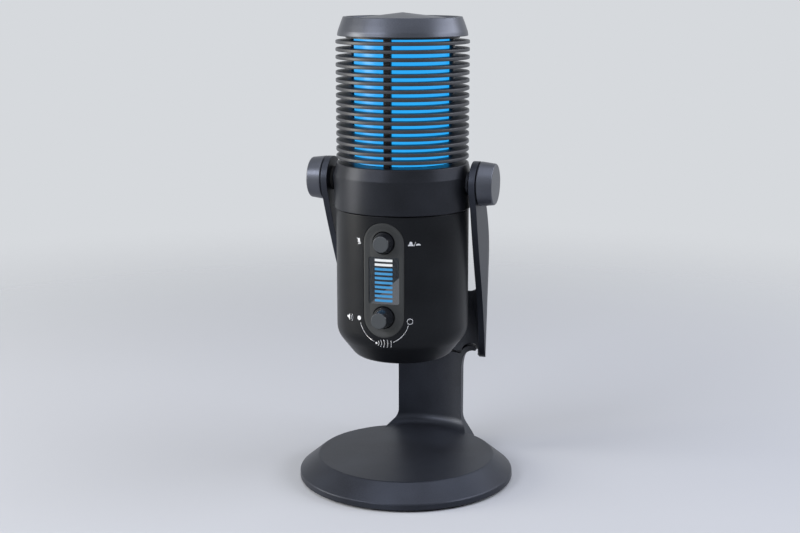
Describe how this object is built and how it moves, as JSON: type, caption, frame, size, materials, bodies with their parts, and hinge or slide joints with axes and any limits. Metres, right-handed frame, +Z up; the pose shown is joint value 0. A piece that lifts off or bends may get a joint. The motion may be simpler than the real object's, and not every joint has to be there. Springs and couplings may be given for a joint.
{
  "type": "desktop microphone",
  "caption": "Desktop microphone: a ringed grille over a light tube and a round body with knobs and a level display, tilting in a swept yoke on a disc base.",
  "frame": {"origin": "centre of the base disc, on the table", "axes": "+X to the microphone's left seen from its front, -Y out of the front, +Z up"},
  "size_m": [0.12, 0.12, 0.2594],
  "materials": {
    "foot_rubber": "moulded rubber, matt",
    "graphite_cast": "die cast, fine dark spray coat",
    "graphite_shell": "thin wall, fine dark spray coat",
    "graphite_plastic": "matt moulded plastic",
    "steel": "turned and zinc plated",
    "black_steel": "black oxide screws",
    "brass": "turned",
    "nylon": "natural nylon",
    "black_rubber": "soft rubber",
    "panel_plastic": "fine satin moulding",
    "window": "smoked acrylic",
    "black_plastic": "black moulding",
    "bars": "lit segments",
    "knob_plastic": "gloss sides, satin face",
    "pcb": "solder mask",
    "chips": "component bodies",
    "leds": "led packages",
    "light": "lit translucent tube",
    "foam": "open foam",
    "mesh": "black woven mesh",
    "capsule_metal": "turned",
    "gold": "gold film",
    "socket_steel": "nickel plated"
  },
  "bodies": {
    "stand": {"foot_pad": "foot_rubber", "stand_casting": "graphite_cast", "ballast_plate": "steel", "ballast_screws": "steel", "yoke": "graphite_cast", "yoke_screws": "black_steel", "ear_bushes": "nylon", "friction_washers": "black_rubber"},
    "microphone": {"body_shell": "graphite_shell", "body_screws": "black_steel", "collar": "graphite_shell", "pivot_inserts": "brass", "chassis": "black_plastic", "chassis_screws": "steel", "grille_cage": "graphite_plastic", "cap_screws": "steel", "top_cap": "graphite_shell", "vent_mesh": "mesh", "light_tube": "light", "light_board": "pcb", "light_leds": "leds", "foam_sleeve": "foam", "capsule_holder": "black_plastic", "shock_ring": "black_rubber", "capsule": "capsule_metal", "diaphragm": "gold", "control_panel": "panel_plastic", "display_window": "window", "display_module": "black_plastic", "display_bars": "bars", "control_board": "pcb", "control_screws": "steel", "encoders": "black_plastic", "main_board": "pcb", "main_chips": "chips", "main_screws": "steel", "port_board": "pcb", "usb_socket": "socket_steel", "headphone_jack": "black_plastic"},
    "left_clamp": {"left_knob": "graphite_shell", "left_stud": "steel"},
    "right_clamp": {"right_knob": "graphite_shell", "right_stud": "steel"},
    "upper_press": {"upper_plunger": "nylon"},
    "upper_turn": {"upper_knob": "knob_plastic", "upper_shaft": "steel"},
    "lower_press": {"lower_plunger": "nylon"},
    "lower_turn": {"lower_knob": "knob_plastic", "lower_shaft": "steel"}
  },
  "joints": [
    {"name": "tilt", "type": "hinge", "parent": "stand", "child": "microphone", "pos_m": [0, -0.007, 0.1697], "axis": [-1, 0, 0], "range_deg": [-18, 90]},
    {"name": "left_clamp_turn", "type": "hinge", "parent": "microphone", "child": "left_clamp", "pos_m": [-0.0475, -0.007, 0.1697], "axis": [-1, 0, 0], "range_deg": [0, 360]},
    {"name": "right_clamp_turn", "type": "hinge", "parent": "microphone", "child": "right_clamp", "pos_m": [0.0475, -0.007, 0.1697], "axis": [1, 0, 0], "range_deg": [0, 360]},
    {"name": "upper_push", "type": "slide", "parent": "microphone", "child": "upper_press", "axis": [0, 1, 0], "range_m": [0, 0.0005], "stiffness_N_per_m": 6000},
    {"name": "upper_rotate", "type": "hinge", "parent": "upper_press", "child": "upper_turn", "pos_m": [0, -0.045, 0.1416], "axis": [0, -1, 0], "range_deg": [-140, 140]},
    {"name": "lower_push", "type": "slide", "parent": "microphone", "child": "lower_press", "axis": [0, 1, 0], "range_m": [0, 0.0005], "stiffness_N_per_m": 6000},
    {"name": "lower_rotate", "type": "hinge", "parent": "lower_press", "child": "lower_turn", "pos_m": [0, -0.045, 0.1016], "axis": [0, -1, 0], "range_deg": [-140, 140]}
  ]
}
